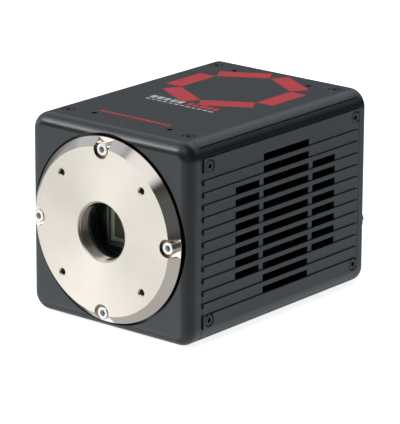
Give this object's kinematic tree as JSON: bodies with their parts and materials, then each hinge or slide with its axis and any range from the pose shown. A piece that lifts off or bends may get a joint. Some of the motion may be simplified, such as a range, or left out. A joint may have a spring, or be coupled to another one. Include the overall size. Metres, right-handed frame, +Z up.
{
  "type": "cooled astronomy camera",
  "caption": "Square air-cooled camera head with a bevelled lens mount disc, ribbed and slotted side panels, an inner fan and heat sink, a sealed sensor chamber and rear sockets.",
  "frame": {"origin": "centre of the lens flange face, on the optical axis", "axes": "+Y along the optical axis from the flange into the body, +Z up, +X towards the fan side panel"},
  "size_m": [0.0864, 0.13, 0.085],
  "materials": {
    "case_paint": "fine-textured satin dark grey paint",
    "turned_metal": "fine turned face, clear finish",
    "steel_screw": "bright stainless",
    "black_screw": "blackened steel",
    "black_anodised": "matt black anodised aluminium",
    "raw_aluminium": "milled",
    "window_glass": "coated window",
    "seal_rubber": "matt",
    "package_ceramic": "matt",
    "sensor_silicon": "polished",
    "board_laminate": "solder-masked laminate",
    "socket_plastic": "moulded",
    "copper": "bare copper",
    "ribbon_film": "film",
    "fan_plastic": "moulded",
    "bright_steel": "ground",
    "brass_plated": "gold plated",
    "nickel_plated": "nickel plated",
    "insulator_white": "moulded",
    "chip_plastic": "moulded",
    "light_lens": "clear moulded"
  },
  "bodies": {
    "camera": {"front_cover": "case_paint", "top_cover": "case_paint", "bottom_cover": "case_paint", "left_side_panel": "case_paint", "right_side_panel": "case_paint", "rear_panel": "case_paint", "mount_disc": "turned_metal", "mount_disc_screws": "steel_screw", "front_cover_screws": "black_screw", "top_cover_screws": "black_screw", "bottom_cover_screws": "black_screw", "side_panel_screws": "black_screw", "rear_panel_screws": "black_screw", "rail_screws": "black_screw", "cold_head_screws": "steel_screw", "fan_screws": "steel_screw", "board_screws": "steel_screw", "tripod_insert": "steel_screw", "front_plate": "black_anodised", "chassis_rails": "raw_aluminium", "window_retainer": "black_anodised", "window_glass": "window_glass", "window_o_ring": "seal_rubber", "chamber_housing": "black_anodised", "chamber_gasket": "seal_rubber", "sensor_package": "package_ceramic", "sensor_die": "sensor_silicon", "sensor_lid_glass": "window_glass", "sensor_board": "board_laminate", "ribbon_sockets": "socket_plastic", "cold_finger": "copper", "thermoelectric_cooler": "package_ceramic", "sensor_ribbon": "ribbon_film", "heat_sink": "raw_aluminium", "fan_frame": "fan_plastic", "fan_bearings": "bright_steel", "fan_stator": "copper", "fan_lead": "socket_plastic", "main_board": "board_laminate", "power_board": "board_laminate", "interface_board": "board_laminate", "board_standoffs": "brass_plated", "interface_standoffs": "brass_plated", "processor": "chip_plastic", "memory_chips": "chip_plastic", "power_chokes": "chip_plastic", "board_links": "socket_plastic", "coax_sockets": "brass_plated", "stream_sockets": "nickel_plated", "socket_insulators": "insulator_white", "power_inlet": "nickel_plated", "power_inlet_insert": "socket_plastic", "data_socket": "nickel_plated", "status_light": "light_lens", "switch_body": "socket_plastic", "switch_pin": "bright_steel"},
    "rotor": {"fan_rotor": "fan_plastic", "fan_shaft": "bright_steel", "fan_magnet_ring": "bright_steel"},
    "rocker": {"switch_rocker": "socket_plastic"}
  },
  "joints": [
    {"name": "fan_spin", "type": "hinge", "parent": "camera", "child": "rotor", "pos_m": [0.0305, 0.0665, 0], "axis": [1, 0, 0], "continuous": true},
    {"name": "switch_tilt", "type": "hinge", "parent": "camera", "child": "rocker", "pos_m": [-0.027, 0.1185, 0.018], "axis": [1, 0, 0], "range_deg": [-16, 0]}
  ]
}
